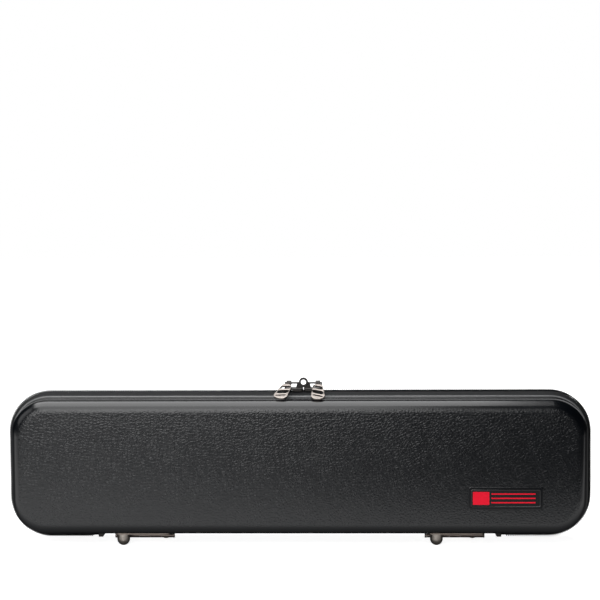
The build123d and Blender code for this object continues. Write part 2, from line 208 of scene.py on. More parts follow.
class Graph:
    """Node tree of one material, or of a world."""

    def __init__(self, name: str, kept_in: bpy.types.bpy_prop_collection | None = None) -> None:
        self.owner = (bpy.data.materials if kept_in is None else kept_in).new(name)
        self.owner.use_nodes = True
        self.tree = self.owner.node_tree
        self.tree.nodes.clear()

    def put(self, socket: bpy.types.NodeSocket, value: object) -> None:
        """Link a Flow to a socket, or set the socket's own value."""
        if isinstance(value, Flow):
            self.tree.links.new(value.socket, socket)
        else:
            socket.default_value = value

    def node(
        self, kind: str, settings: Settings = None, values: Values = None
    ) -> bpy.types.Node:
        """Add a node. Its settings come first, because some of them change its sockets."""
        made = self.tree.nodes.new(kind)
        for key, value in (settings or {}).items():
            setattr(made, key, value)
        for key, value in (values or {}).items():
            self.put(made.inputs[key], value)
        return made

    def flow(
        self, kind: str, settings: Settings = None, values: Values = None, out: int | str = 0
    ) -> Flow:
        """Add a node and take one of its outputs."""
        return Flow(self, self.node(kind, settings, values).outputs[out])

    def position(self, scale: Sequence[float] = (1.0, 1.0, 1.0)) -> Flow:
        """Object coordinates in millimetres, times a scale on each axis."""
        place = self.flow("ShaderNodeTexCoord", out="Object")
        values = {0: place, 1: [1000.0 * share for share in scale]}
        return self.flow("ShaderNodeVectorMath", {"operation": "MULTIPLY"}, values)

    def axes(self, vector: Flow) -> tuple[Flow, Flow, Flow]:
        """The three numbers of a vector."""
        made = self.node("ShaderNodeSeparateXYZ", None, {0: vector})
        return tuple(Flow(self, out) for out in made.outputs)

    def course(self) -> tuple[Flow, Flow]:
        """Distance along the zip and across it, in millimetres, from the UV map."""
        along, across, _ = self.axes(self.flow("ShaderNodeUVMap", {"uv_map": "course"}))
        return along * 1000.0, across * 100.0

    def normal(self) -> tuple[Flow, Flow, Flow]:
        """The surface's own direction at rest."""
        return self.axes(self.flow("ShaderNodeTexCoord", out="Normal"))

    def noise(self, at: Flow, scale: float, detail: float = 2.0, rough: float = 0.5) -> Flow:
        """Noise from 0 to 1."""
        values = {"Vector": at, "Scale": scale, "Detail": detail, "Roughness": rough}
        return self.flow("ShaderNodeTexNoise", None, values)

    def cells(self, at: Flow, scale: float, feature: str = "SMOOTH_F1") -> Flow:
        """Distance in a Voronoi pattern."""
        values = {"Vector": at, "Scale": scale}
        return self.flow("ShaderNodeTexVoronoi", {"feature": feature}, values)

    def mix(self, share: Flow | float, low: Colour, high: Colour) -> Flow:
        """Colour from low to high by share."""
        values = {0: share, 6: (*low, 1.0), 7: (*high, 1.0)}
        return self.flow("ShaderNodeMix", {"data_type": "RGBA"}, values, 2)

    def bump(self, height: Flow, depth_mm: float) -> Flow:
        """Normal from a height of 0 to 1 that stands for depth_mm."""
        values = {"Strength": 1.0, "Distance": depth_mm / 1000, "Height": height}
        return self.flow("ShaderNodeBump", None, values)

    def finish(self, colour: Flow, rough: Flow, **values: object) -> bpy.types.Material:
        """Close the tree with a Principled shader; further sockets have _ for a space."""
        named = {key.replace("_", " "): value for key, value in values.items()}
        named |= {"Base Color": colour, "Roughness": rough}
        shader = self.flow("ShaderNodeBsdfPrincipled", None, named)
        self.node("ShaderNodeOutputMaterial", None, {"Surface": shader})
        return self.owner

    def finish_by_ray(self, others: Flow, camera: Flow, output: str) -> None:
        """Close the tree with one shader for the camera's rays and one for all others."""
        ray = self.flow("ShaderNodeLightPath", out="Is Camera Ray")
        chosen = self.flow("ShaderNodeMixShader", None, {0: ray, 1: others, 2: camera})
        self.node(output, None, {"Surface": chosen})


@dataclass(frozen=True)
class GrainedShell:
    """Moulded shell with a fine pebble grain on its broad faces."""

    name: str = "grained_shell"
    dark: Colour = (0.0010, 0.0015, 0.0024)
    light: Colour = (0.0022, 0.0030, 0.0042)
    grain_mm: float = 2.0
    depth_mm: float = 0.105
    badge: BadgePlace = BadgePlace()
    ledge_mm: Pair = (1.6, 1.55)
    fade_mm: float = 0.4

    def off_badge(self, g: Graph, at: Flow) -> Flow:
        """Rises from 0 on the smooth ledge round the badge to 1 past it."""
        x, _, z = g.axes(at)
        spot = self.badge
        end = spot.half_x + self.ledge_mm[0]
        top = spot.half_y + self.ledge_mm[1]
        beside = (x - spot.x).absolute().smooth(end, end + self.fade_mm)
        height = z - (CaseSizes.mid_height + spot.y)
        return beside.most(height.absolute().smooth(top, top + self.fade_mm))

    def build(self) -> bpy.types.Material:
        """Make the material."""
        g = Graph(self.name)
        at = g.position()
        pebbles = g.cells(at, 1.0 / self.grain_mm, "DISTANCE_TO_EDGE").smooth(0.0, 0.30)
        fine = g.noise(at, 0.9, 2.0, 0.6)
        face = g.normal()[1].absolute().smooth(0.90, 0.998) * self.off_badge(g, at)
        height = (pebbles * 0.75 + fine * 0.45) * (face * 0.95 + 0.05)
        blotch = g.noise(at, 0.05, 3.0, 0.55).smooth(0.3, 0.75)
        fleck = g.noise(at, 0.8, 2.0, 0.7).smooth(0.45, 0.8)
        colour = g.mix(blotch * 0.4 + fleck * face * 0.6, self.dark, self.light)
        rough = 0.18 + blotch * 0.03 + (fine * 0.08 + 0.03) * face
        return g.finish(colour, rough, Normal=g.bump(height, self.depth_mm))


@dataclass(frozen=True)
class WovenTape:
    """Zip tape: fine herringbone ribs along the zip with a sewn selvedge."""

    name: str = "zip_tape"
    dark: Colour = (0.002, 0.0023, 0.003)
    light: Colour = (0.014, 0.015, 0.016)
    rib_mm: float = 0.62
    twill_mm: float = 0.7

    def build(self) -> bpy.types.Material:
        """Make the material."""
        g = Graph(self.name)
        along, across = g.course()
        row = (across / self.rib_mm).floor()
        lean = (row * 0.5).fract() * 4.0 - 1.0
        twill = ((along + across * lean) * (math.tau / self.twill_mm)).wave()
        rib = (across * (math.tau / self.rib_mm)).wave()
        fibre = g.noise(g.position(), 3.5, 2.0, 0.6)
        height = twill * 0.45 + rib * 0.35 + fibre * 0.2
        colour = g.mix(height.smooth(0.1, 0.9), self.dark, self.light)
        rough = 0.62 + fibre * 0.2
        return g.finish(colour, rough, Normal=g.bump(height, 0.09), Specular_IOR_Level=0.25)


@dataclass(frozen=True)
class PipedWelt:
    """Satin piping with a fine leather grain and faint creases across it."""

    name: str = "welt"
    # dark is the painted shade of the cord's lower front; light tints its top and back, painted
    # lighter as if lit.
    dark: Colour = (0.020, 0.020, 0.021)
    light: Colour = (0.210, 0.213, 0.215)
    crease_mm: float = 2.6
    # Span across the cord where the painted shade below turns into the painted light on top.
    lit_from: Pair = (14.15, 14.45)

    def build(self) -> bpy.types.Material:
        """Make the material: top and back painted light and glossy, lower front painted shade
        and dull.
        """
        g = Graph(self.name)
        along, across = g.course()
        grain = g.cells(g.position(), 2.2)
        crease = g.noise(g.position(), 0.35, 3.0, 0.6)
        tick = (along * (math.tau / self.crease_mm)).wave().smooth(0.0, 0.12)
        height = grain * 0.5 + crease * 0.3 + tick * 0.2
        # Painted light and shade: the cord's top and back, past the given span across, are
        # lighter; its lower front is dark shade.
        painted_lit_top = across.smooth(*self.lit_from)
        colour = g.mix((crease * 0.4 + grain * 0.2 + 0.3) * painted_lit_top, self.dark, self.light)
        rough = 0.92 - painted_lit_top * 0.68 + grain * 0.08
        return g.finish(colour, rough, Normal=g.bump(height, 0.04), Specular_IOR_Level=0.35)


@dataclass(frozen=True)
class Nylon:
    """Dark nylon, paler by a factor where its noise (scale, detail, roughness) is high."""

    name: str
    colour: Colour
    paler: float
    noise: Triple
    rough: float
    depth_mm: float
    stretch: Triple = (1.0, 1.0, 1.0)
    specular: float = 0.5

    def build(self) -> bpy.types.Material:
        """Make the material."""
        g = Graph(self.name)
        scuff = g.noise(g.position(self.stretch), *self.noise)
        colour = g.mix(scuff, self.colour, tuple(self.paler * c for c in self.colour))
        normal = g.bump(scuff, self.depth_mm)
        rough = self.rough + scuff * 0.2
        return g.finish(colour, rough, Normal=normal, Specular_IOR_Level=self.specular)


@dataclass(frozen=True)
class PlatedMetal:
    """Plated or brushed metal with smudges and fine brush marks."""

    name: str
    dark: Colour
    light: Colour
    rough: float
    brush: Sequence[float] = (1.0, 1.0, 1.0)
    brush_depth_mm: float = 0.01

    def build(self) -> bpy.types.Material:
        """Make the material."""
        g = Graph(self.name)
        at = g.position()
        smudge = g.noise(at, 0.30, 4.0, 0.6)
        lines = g.noise(g.position(self.brush), 2.4, 3.0, 0.65)
        colour = g.mix(smudge * 0.6 + lines * 0.4, self.dark, self.light)
        rough = self.rough + smudge * 0.12 + lines * 0.08
        return g.finish(colour, rough, Metallic=1.0, Normal=g.bump(lines, self.brush_depth_mm))


@dataclass(frozen=True)
class Lacquer:
    """Glossy lacquer or print over a fine orange peel."""

    name: str
    dark: Colour
    light: Colour
    rough: float
    coat: float
    specular: float = 0.5

    def build(self) -> bpy.types.Material:
        """Make the material."""
        g = Graph(self.name)
        at = g.position()
        peel = g.noise(at, 0.9, 2.0, 0.5)
        wipe = g.noise(g.position((0.3, 1.0, 1.0)), 0.6, 3.0, 0.6)
        colour = g.mix(wipe, self.dark, self.light)
        return g.finish(
            colour,
            self.rough + wipe * 0.08,
            Normal=g.bump(peel, 0.012),
            Specular_IOR_Level=self.specular,
            Coat_Weight=self.coat,
            Coat_Roughness=0.06,
        )


@dataclass(frozen=True)
class NappedCloth:
    """Short-napped cloth or plush: brushed fibres, lay marks and a soft sheen."""

    name: str
    dark: Colour
    light: Colour
    fibre_mm: float
    depth_mm: float
    sheen: float

    def build(self) -> bpy.types.Material:
        """Make the material."""
        g = Graph(self.name)
        at = g.position()
        fibre = g.noise(at, 1.0 / self.fibre_mm, 3.0, 0.75)
        lay = g.noise(g.position((0.6, 1.0, 1.0)), 0.045, 3.0, 0.6).smooth(0.3, 0.7)
        height = fibre * 0.8 + lay * 0.2
        colour = g.mix(fibre * 0.5 + lay * 0.5, self.dark, self.light)
        return g.finish(
            colour,
            0.86 + fibre * 0.1,
            Normal=g.bump(height, self.depth_mm),
            Sheen_Weight=self.sheen,
            Sheen_Roughness=0.35,
        )


class Finishes:
    """All the case's finishes, each made once."""

    RECIPES = (
        GrainedShell(),
        WovenTape(),
        Nylon(
            "zip_coil", (0.0015, 0.0015, 0.002), 2.0, (1.1, 3.0, 0.6), 0.45, 0.02, specular=0.15
        ),
        PipedWelt(),
        Nylon(
            "sewing_thread", (0.020, 0.020, 0.021), 1.9, (2.0, 2.0, 0.5), 0.5, 0.05,
            stretch=(1.0, 3.0, 3.0),
        ),
        PlatedMetal("gunmetal", (0.020, 0.019, 0.019), (0.075, 0.070, 0.067), 0.26),
        PlatedMetal("nickel", (0.27, 0.235, 0.215), (0.44, 0.40, 0.37), 0.22),
        PlatedMetal(
            "hinge_steel", (0.20, 0.165, 0.145), (0.40, 0.34, 0.30), 0.30,
            brush=(0.06, 1.0, 1.0), brush_depth_mm=0.02,
        ),
        PlatedMetal("foot_metal", (0.30, 0.27, 0.24), (0.48, 0.44, 0.40), 0.28),
        Lacquer("badge_gloss", (0.004, 0.004, 0.0045), (0.009, 0.009, 0.010), 0.10, 0.6),
        Lacquer("badge_red", (0.60, 0.001, 0.014), (0.74, 0.002, 0.026), 0.5, 0.0, 0.2),
        NappedCloth(
            "lining_cloth", (0.006, 0.006, 0.007), (0.022, 0.022, 0.024), 0.35, 0.10, 0.25
        ),
        NappedCloth(
            "plush_foam", (0.010, 0.010, 0.012), (0.036, 0.036, 0.041), 0.55, 0.35, 0.45
        ),
    )

    KEPT = {
        "shell": "grained_shell",
        "zip_stops": "gunmetal",
        "slider": "gunmetal",
        "pull_link": "gunmetal",
        "hinge": "hinge_steel",
        "foot": "foot_metal",
        "badge_plate": "badge_gloss",
        "badge_emblem": "badge_red",
    }

    def __init__(self) -> None:
        self.made = {recipe.name: recipe.build() for recipe in self.RECIPES}

    def __getitem__(self, name: str) -> bpy.types.Material:
        return self.made[name]

    def dress(self, nodes: dict[str, bpy.types.Object]) -> None:
        """Give the CAD pieces whose shapes stay their finishes."""
        for name, piece in nodes.items():
            finish = next((self.KEPT[part] for part in self.KEPT if part in name), None)
            if finish:
                piece.data.materials.clear()
                piece.data.materials.append(self[finish])
                log.info("%-22s keeps its CAD shape, finish %s", name, finish)


# ---- modelling
class Bench:
    """Edit-mode work on one mesh, lying flat in millimetres."""

    def __init__(self, name: str) -> None:
        self.name = name
        mesh = bpy.data.meshes.new(name)
        self.piece = bpy.data.objects.new(name, mesh)
        bpy.context.scene.collection.objects.link(self.piece)
        self.enter()

    def enter(self) -> None:
        """Make the mesh the one being edited."""
        if bpy.context.object and bpy.context.object.mode != "OBJECT":
            bpy.ops.object.mode_set(mode="OBJECT")
        bpy.ops.object.select_all(action="DESELECT")
        bpy.context.view_layer.objects.active = self.piece
        self.piece.select_set(True)
        bpy.ops.object.mode_set(mode="EDIT")
        bpy.ops.mesh.select_mode(type="VERT")

    def leave(self) -> None:
        """Go back to object mode."""
        bpy.ops.object.mode_set(mode="OBJECT")

    def pick(self, test: Callable[[Vector], bool]) -> None:
        """Select the points whose place passes a test, with what lies between them."""
        bpy.ops.mesh.select_mode(type="VERT")
        bpy.ops.mesh.select_all(action="DESELECT")
        edit = bmesh.from_edit_mesh(self.piece.data)
        for vertex in edit.verts:
            vertex.select = test(vertex.co)
        edit.select_flush_mode()
        bmesh.update_edit_mesh(self.piece.data)

    def pick_edges(self, test: Callable[[Vector, Vector], bool]) -> None:
        """Select the edges whose two ends pass a test."""
        bpy.ops.mesh.select_mode(type="EDGE")
        bpy.ops.mesh.select_all(action="DESELECT")
        edit = bmesh.from_edit_mesh(self.piece.data)
        for edge in edit.edges:
            edge.select = test(edge.verts[0].co, edge.verts[1].co)
        bmesh.update_edit_mesh(self.piece.data)

    def round_uprights(self, radius: float, segments: int, rise: float = 1.0) -> None:
        """Round the edges that climb by more than rise."""
        self.pick_edges(lambda a, b: abs(a.z - b.z) > rise)
        bpy.ops.mesh.bevel(offset=radius, segments=segments, affect="EDGES")

    def round_level(self, z: float, radius: float, segments: int) -> None:
        """Round the edges that lie at a height."""
        self.pick_edges(lambda a, b: max(abs(a.z - z), abs(b.z - z)) < 0.01)
        bpy.ops.mesh.bevel(offset=radius, segments=segments, affect="EDGES")

    def reshape(self, move: Callable[[Vector], Vector]) -> None:
        """Move every point of the mesh by a rule."""
        edit = bmesh.from_edit_mesh(self.piece.data)
        for vertex in edit.verts:
            vertex.co = move(vertex.co)
        bmesh.update_edit_mesh(self.piece.data)

    def block(self, low: Sequence[float], high: Sequence[float]) -> None:
        """Add a box between two corners and leave it picked."""
        bpy.ops.mesh.select_all(action="DESELECT")
        middle = [(a + b) / 2 for a, b in zip(low, high)]
        size = [b - a for a, b in zip(low, high)]
        bpy.ops.mesh.primitive_cube_add(size=1.0, location=middle, scale=size)

    def outward(self) -> None:
        """Turn all the faces outward."""
        bpy.ops.mesh.select_all(action="SELECT")
        bpy.ops.mesh.normals_make_consistent(inside=False)

    def apply(self, kind: str, **settings: object) -> None:
        """Add a modifier and apply it, in object mode."""
        self.leave()
        made = self.piece.modifiers.new(kind.lower(), kind)
        for key, value in settings.items():
            setattr(made, key, value)
        bpy.ops.object.modifier_apply(modifier=made.name)
        self.enter()

    def cut(self, cutter: Bench) -> None:
        """Take another mesh away from this one, and use it up."""
        cutter.outward()
        cutter.leave()
        self.enter()
        self.outward()
        self.apply("BOOLEAN", object=cutter.piece, operation="DIFFERENCE", solver="EXACT")
        bpy.data.objects.remove(cutter.piece)

    def deliver(
        self, finish: bpy.types.Material, body: str | None, sizes: CaseSizes, smooth: float
    ) -> bpy.types.Object:
        """Stand the piece up in the frame, with its finish and, if it has one, its body.

        Edges that turn by less than smooth degrees are shaded smooth.
        """
        self.leave()
        self.piece.data.transform(sizes.stand)
        self.piece.data.materials.clear()
        self.piece.data.materials.append(finish)
        bpy.ops.object.shade_smooth_by_angle(angle=math.radians(smooth))
        self.piece.data.update()
        if body:
            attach(self.piece, body)
        # The frame's materials have the same names, so Blender puts a number behind a point.
        count = sum(len(p.vertices) - 2 for p in self.piece.data.polygons)
        log.info("%-22s %6d triangles, rides on %s", self.name, count, body or "two bodies")
        return self.piece


@dataclass(frozen=True)
class Run:
    """Straight run of the zip: start, direction and length, with its outward side."""

    start: Vector
    heading: Vector
    length: float

    @property
    def out(self) -> Vector:
        """Outward direction."""
        return Vector((-self.heading.y, self.heading.x))

    def place(self, s: float, n: float) -> Vector:
        """Point at s along the run and n outward from the wall."""
        return self.start + self.heading * s + self.out * n

    def find(self, point: Vector) -> Pair:
        """The s and n of a point."""
        offset = point - self.start
        return offset.dot(self.heading), offset.dot(self.out)


@dataclass(frozen=True)
class Turn:
    """Quarter turn of the zip round a corner, clockwise seen from the lid."""

    centre: Vector
    begins: float
    radius: float
    length: float

    def place(self, s: float, n: float) -> Vector:
        """Point at s along the turn and n outward from the wall."""
        angle = self.begins - s / self.length * math.pi / 2
        reach = self.radius + n
        return self.centre + Vector((math.cos(angle), math.sin(angle))) * reach

    def find(self, point: Vector) -> Pair:
        """The s and n of a point."""
        offset = point - self.centre
        turn = (self.begins - math.atan2(offset.y, offset.x)) % math.tau
        return turn / (math.pi / 2) * self.length, offset.length - self.radius


class ZipRoute:
    """Course of the zip: along part of the hinge side, the ends and the open side."""

    RIPPLE = 0.11
    RUN_STEP = 9.0
    TURN_STEPS = 12
    ACROSS_START = 20.0
    SLOPE = (0.69, 0.73)

    def __init__(self, sizes: CaseSizes, zip_end: float = 145.0, at_n: float = 4.4) -> None:
        self.sizes = sizes
        x, y = sizes.straight_x, sizes.straight_y
        wall = sizes.half_y
        bend = (sizes.corner + at_n) * math.pi / 2
        corners = [(-x, -y, -90.0), (-x, y, 180.0), (x, y, 90.0), (x, -y, 0.0)]
        turns = [
            Turn(Vector((cx, cy)), math.radians(a), sizes.corner, bend) for cx, cy, a in corners
        ]
        runs = [
            Run(Vector((-zip_end, -wall)), Vector((-1, 0)), x - zip_end),
            Run(Vector((-sizes.half_x, -y)), Vector((0, 1)), 2 * y),
            Run(Vector((-x, wall)), Vector((1, 0)), 2 * x),
            Run(Vector((sizes.half_x, y)), Vector((0, -1)), 2 * y),
            Run(Vector((x, -wall)), Vector((-1, 0)), x - zip_end),
        ]
        self.legs: list[Run | Turn] = [runs[0]]
        for turn, run in zip(turns, runs[1:]):
            self.legs += [turn, run]
        self.zip_end = zip_end

    @property
    def length(self) -> float:
        """Length of the whole course."""
        return sum(leg.length for leg in self.legs)

    def ripple(self, s: float, n: float) -> float:
        """Outward drift of the flexible edge, which a sewn zip never keeps quite straight.

        It fades out at the zip's two ends, towards the sewn edge, and on the open side's
        straight run, where the sliders go.
        """
        drift = math.sin(s * 0.043 + 0.7) + 0.6 * math.sin(s * 0.101 + 2.0)
        fade = min(1.0, s / 30.0, (self.length - s) / 30.0)
        mid = abs(s - self.length / 2)
        off_straight = min(1.0, max(0.0, (mid - 184.0) / 20.0))
        loose = max(0.0, min(1.0, n / 4.0))
        return self.RIPPLE * drift * max(0.0, fade) * off_straight * loose

    def place(self, s: float, n: float, z: float) -> Vector:
        """Point at s along the course, n outward from the shell's wall and at height z."""
        left = min(max(s, 0.0), self.length)
        n += self.ripple(left, n)
        for leg in self.legs:
            if left <= leg.length or leg is self.legs[-1]:
                at = leg.place(left, n)
                return Vector((at.x, at.y, z))
            left -= leg.length
        raise ValueError(s)

    def sweep(self, bench: Bench, section: Sequence[Pair]) -> None:
        """Sweep a closed section of points (n, z) along the whole course."""
        bpy.ops.mesh.primitive_circle_add(vertices=len(section), fill_type="NGON")
        edit = bmesh.from_edit_mesh(bench.piece.data)
        edit.verts.ensure_lookup_table()
        for vertex, (n, z) in zip(edit.verts, section):
            vertex.co = (-self.zip_end, -self.sizes.half_y - n, z)
        bmesh.update_edit_mesh(bench.piece.data)
        for leg in self.legs:
            if isinstance(leg, Run):
                count = math.ceil(leg.length / self.RUN_STEP)
                move = leg.heading * (leg.length / count)
                for _ in range(count):
                    bpy.ops.mesh.extrude_region_move(
                        TRANSFORM_OT_translate={"value": (move.x, move.y, 0.0)}
                    )
            else:
                bpy.ops.mesh.spin(
                    steps=self.TURN_STEPS,
                    angle=math.pi / 2,
                    center=(leg.centre.x, leg.centre.y, 0.0),
                    axis=(0.0, 0.0, 1.0),
                )
        bench.outward()

    def settle(self, bench: Bench) -> None:
        """Give the swept mesh its ripple and a UV map of the course.

        U is the distance along in metres, V the distance across in tenths of a metre,
        measured down the tape's slope.
        """
        edit = bmesh.from_edit_mesh(bench.piece.data)
        layer = edit.loops.layers.uv.new("course")
        where = {v: self.locate(v.co) for v in edit.verts}
        for face in edit.faces:
            for loop in face.loops:
                s, n = where[loop.vert]
                down = n * self.SLOPE[0] - abs(loop.vert.co.z) * self.SLOPE[1]
                loop[layer].uv = (s / 1000, (self.ACROSS_START + down) / 100)
        for vertex, (s, n) in where.items():
            vertex.co = self.place(s, n, vertex.co.z)
        bmesh.update_edit_mesh(bench.piece.data)

    def locate(self, point: Vector) -> Pair:
        """Distances along the course and outward of a point."""
        right, up = point.x > 0, point.y > 0
        past_x = abs(point.x) > self.sizes.straight_x
        past_y = abs(point.y) > self.sizes.straight_y
        if past_x and past_y:
            number = (5 if right else 3) if up else (7 if right else 1)
        elif past_x:
            number = 6 if right else 2
        elif up:
            number = 4
        else:
            number = 8 if right else 0
        s, n = self.legs[number].find(Vector((point.x, point.y)))
        return sum(leg.length for leg in self.legs[:number]) + s, n

    def repeat(
        self, bench: Bench, model: bpy.types.Mesh, count: int, first: float, pitch: float
    ) -> None:
        """Fill the mesh with count copies of a model along the course.

        The model has points (s, n, z). The first copy's middle is at s = first.
        """
        shape = [v.co.copy() for v in model.vertices]
        faces = [tuple(p.vertices) for p in model.polygons]
        points: list[Vector] = []
        made: list[tuple[int, ...]] = []
        for number in range(count):
            base = len(points)
            s = first + number * pitch
            points += [self.place(s + c.x, c.y, c.z) for c in shape]
            made += [tuple(base + i for i in face) for face in faces]
        bench.leave()
        bench.piece.data.from_pydata(points, [], made)
        bench.enter()
        bench.outward()


class ZipHalf:
    """One half of the zip: tape, piped welt, coil and seam."""

    TAPE_WIDTH = 11.5
    TAPE = (
        (-3.3, 7.58), (-1.5, 7.6), (0.2, 7.6), (0.62, 7.35), (1.5, 6.10), (2.5, 4.95),
        (3.45, 3.95), (3.80, 3.35), (3.88, 2.6), (3.88, 0.5), (3.35, 0.45), (2.85, 0.5),
        (2.82, 2.7), (1.9, 3.85), (0.6, 5.5), (-0.2, 6.58), (-1.8, 6.6), (-3.3, 6.65),
    )
    CORD_AT = (0.70, 7.6)
    CORD_RADIUS = 0.80
    FLANGE_TOP = ((-2.4, 8.0), (-1.0, 8.0))
    FLANGE_FOOT = ((-1.0, 7.6), (-2.4, 7.6))
    COIL_PITCH = 1.3
    COIL_AT = (4.42, 1.60)
    STITCH_PITCH = 2.9
    STITCH_AT = (1.72, 5.98)

    def __init__(self, half: Half, route: ZipRoute, finishes: Finishes) -> None:
        self.side = half.value
        self.route = route
        self.finishes = finishes
        self.sizes = route.sizes
        self.body = half.body

    def swept(
        self, name: str, section: Iterable[Pair], finish: str, smooth: float
    ) -> bpy.types.Object:
        """Sweep a section, given on the lid's side, as a piece of this half."""
        bench = Bench(f"{self.body}_{name}")
        self.route.sweep(bench, [(n, z * self.side) for n, z in section])
        self.route.settle(bench)
        return bench.deliver(self.finishes[finish], self.body, self.sizes, smooth)

    def row(
        self, name: str, model: Bench, pitch: float, margin: float, shift: float = 0.0
    ) -> Bench:
        """Use a model up in a row along the course that leaves margin free in all."""
        model.leave()
        bench = Bench(f"{self.body}_{name}")
        length = self.route.length
        count = int((length - margin) / pitch)
        first = (length - (count - 1) * pitch) / 2 + shift
        self.route.repeat(bench, model.piece.data, count, first, pitch)
        bpy.data.objects.remove(model.piece)
        return bench

    def tape(self) -> None:
        """Woven tape: sewn foot, slope and the level edge under the coil."""
        piece = self.swept("tape_woven", self.TAPE, "zip_tape", 50)
        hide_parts(f"{self.body}_zip_tape")
        length = self.route.length / 1000

    def welt(self) -> None:
        """Piping cord with its sewn flange."""
        n, z = self.CORD_AT
        cord = [
            (n + self.CORD_RADIUS * math.cos(a), z + self.CORD_RADIUS * math.sin(a))
            for a in (math.radians(150 - 30 * k) for k in range(11))
        ]
        section = [*self.FLANGE_TOP, *cord, *self.FLANGE_FOOT]
        piece = self.swept("welt_piped", section, "welt", 70)
        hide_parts(f"{self.body}_zip_welt")

    def coil(self) -> None:
        """The nylon turns, each a wire loop that reaches between the other half's."""
        model = Bench("coil_turn")
        bpy.ops.mesh.primitive_torus_add(
            major_segments=10, minor_segments=5, major_radius=0.29, minor_radius=0.27,
            rotation=(0.0, math.pi / 2, 0.0),
        )
        model.pick(lambda co: co.z > 0.02)
        bpy.ops.transform.translate(value=(0.10, 0.0, 1.22))
        model.pick(lambda co: co.z < -0.02)
        bpy.ops.transform.translate(value=(-0.10, 0.0, -1.22))
        model.pick(lambda co: co.z < -1.2)
        bpy.ops.transform.resize(value=(1.12, 1.0, 1.0), center_override=(-0.1, 0.0, -1.4))
        (n, z), side = self.COIL_AT, self.side
        model.reshape(lambda co: Vector((co.x * side, co.y + n, (co.z + z) * side)))
        shift = self.COIL_PITCH / 4 * side
        bench = self.row("coil_turns", model, self.COIL_PITCH, 6.8, shift)
        piece = bench.deliver(self.finishes["zip_coil"], self.body, self.sizes, 180)
        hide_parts(f"{self.body}_zip_coil")

    def seam(self) -> None:
        """Row of lock stitches that sews the tape to the rim."""
        model = Bench("stitch")
        bpy.ops.mesh.primitive_cylinder_add(
            vertices=6, radius=0.17, depth=2.3, rotation=(0.0, math.pi / 2, 0.0)
        )
        model.pick(lambda co: abs(co.x) > 1.0)
        bpy.ops.transform.resize(value=(1.0, 0.75, 0.75))
        bpy.ops.mesh.select_all(action="SELECT")
        bpy.ops.mesh.subdivide(number_cuts=1)
        model.pick(lambda co: abs(co.x) > 1.0)
        bpy.ops.transform.translate(value=(0.0, -0.22, -0.16))
        (n, z), side = self.STITCH_AT, self.side
        model.reshape(lambda co: Vector((co.x, co.y + n, (co.z + z) * side)))
        bench = self.row("zip_seam", model, self.STITCH_PITCH, 8.0)
        bench.deliver(self.finishes["sewing_thread"], self.body, self.sizes, 60)

    def build(self) -> None:
        """Make the half's pieces."""
        self.tape()
        self.welt()
        self.coil()
        self.seam()


@dataclass(frozen=True)
class Channel:
    """Well in the foam: a round channel under a wider recess with a flat floor."""

    x: Pair
    y: float
    radius: float
    axis: float
    width: float
    floor: float


